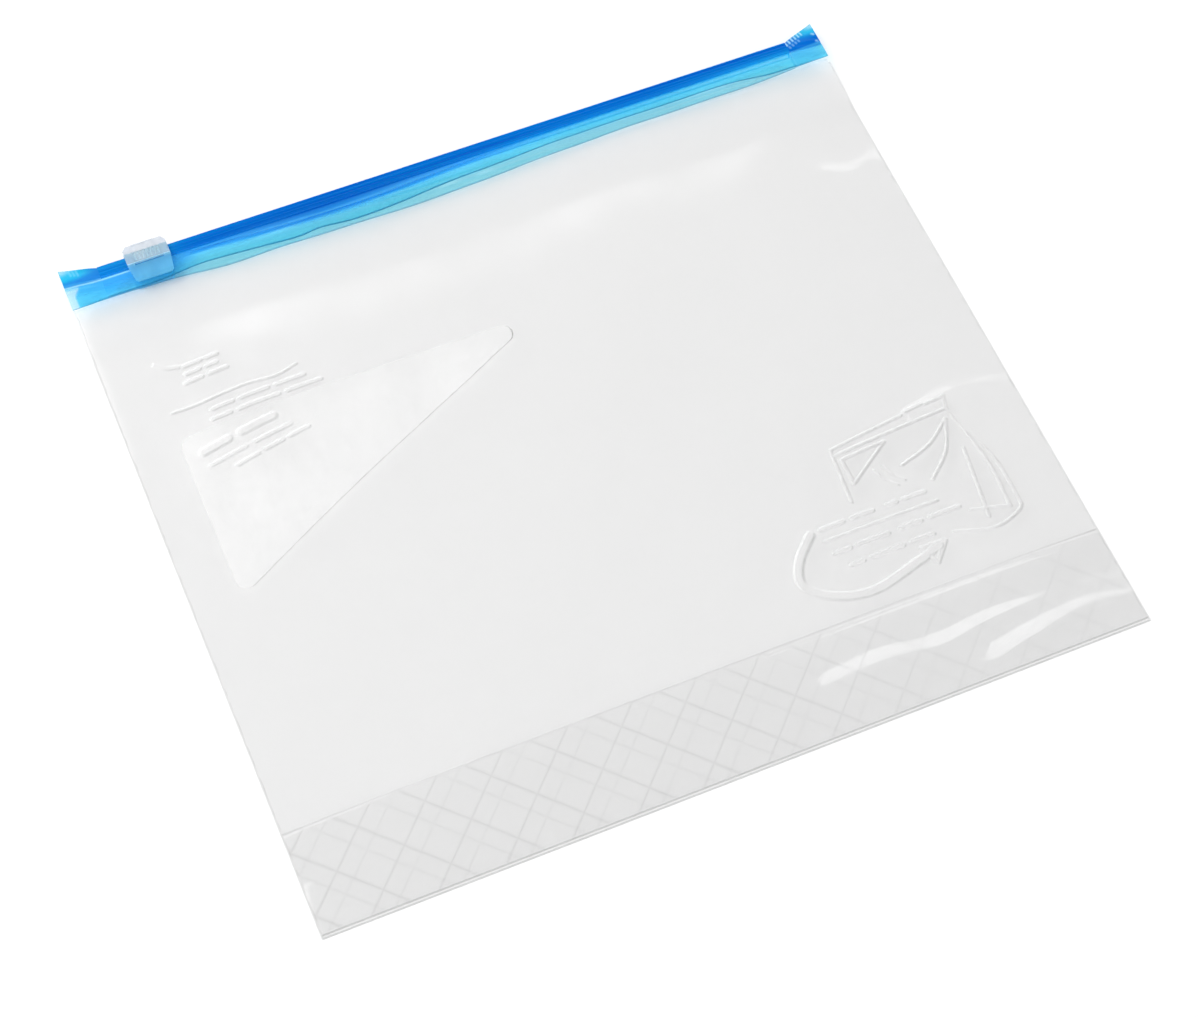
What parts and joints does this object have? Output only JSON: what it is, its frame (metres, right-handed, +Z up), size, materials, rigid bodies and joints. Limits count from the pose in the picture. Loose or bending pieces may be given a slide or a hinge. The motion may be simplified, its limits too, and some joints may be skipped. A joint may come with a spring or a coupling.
{
  "type": "slider zip food bag",
  "caption": "Clear flat-lying plastic food bag with a blue slider zip along its mouth, a frosted write-on triangle and a folded-in bottom gusset.",
  "frame": {"origin": "on the table under the middle of the bag lying flat on its rear panel, at the bottom centre of its box", "axes": "+X along the zip, towards the end the slider moves to as it opens the bag; +Y from the bottom fold towards the mouth; +Z up out of the table, out of the front panel"},
  "size_m": [0.268, 0.246, 0.0059],
  "materials": {
    "film": "clear, glossy, soft",
    "gusset_film": "clear, embossed with a diagonal grid",
    "zip_flange": "translucent light blue",
    "zip_profile": "translucent deep blue",
    "zip_weld": "melted blue, whitened at the crimp",
    "frosted_ink": "frosted print",
    "slider": "translucent white moulding"
  },
  "bodies": {
    "bag": {"front_panel": "film", "rear_panel": "film", "gusset_front_leaf": "gusset_film", "gusset_rear_leaf": "gusset_film", "gusset_inner_fold": "gusset_film", "front_bottom_fold": "film", "rear_bottom_fold": "film", "left_side_seal": "film", "right_side_seal": "film", "front_zip_flange": "zip_flange", "front_zip_profile": "zip_profile", "rear_zip_flange": "zip_flange", "rear_zip_profile": "zip_profile", "left_end_weld": "zip_weld", "right_end_weld": "zip_weld", "write_on_patch": "frosted_ink"},
    "slider": {"slider_top_plate": "slider", "slider_front_wing": "slider", "slider_rear_wing": "slider", "slider_separator": "slider"}
  },
  "joints": [
    {"name": "slider_slide", "type": "slide", "parent": "bag", "child": "slider", "axis": [1, 0, 0], "range_m": [-0.009, 0.22]}
  ]
}
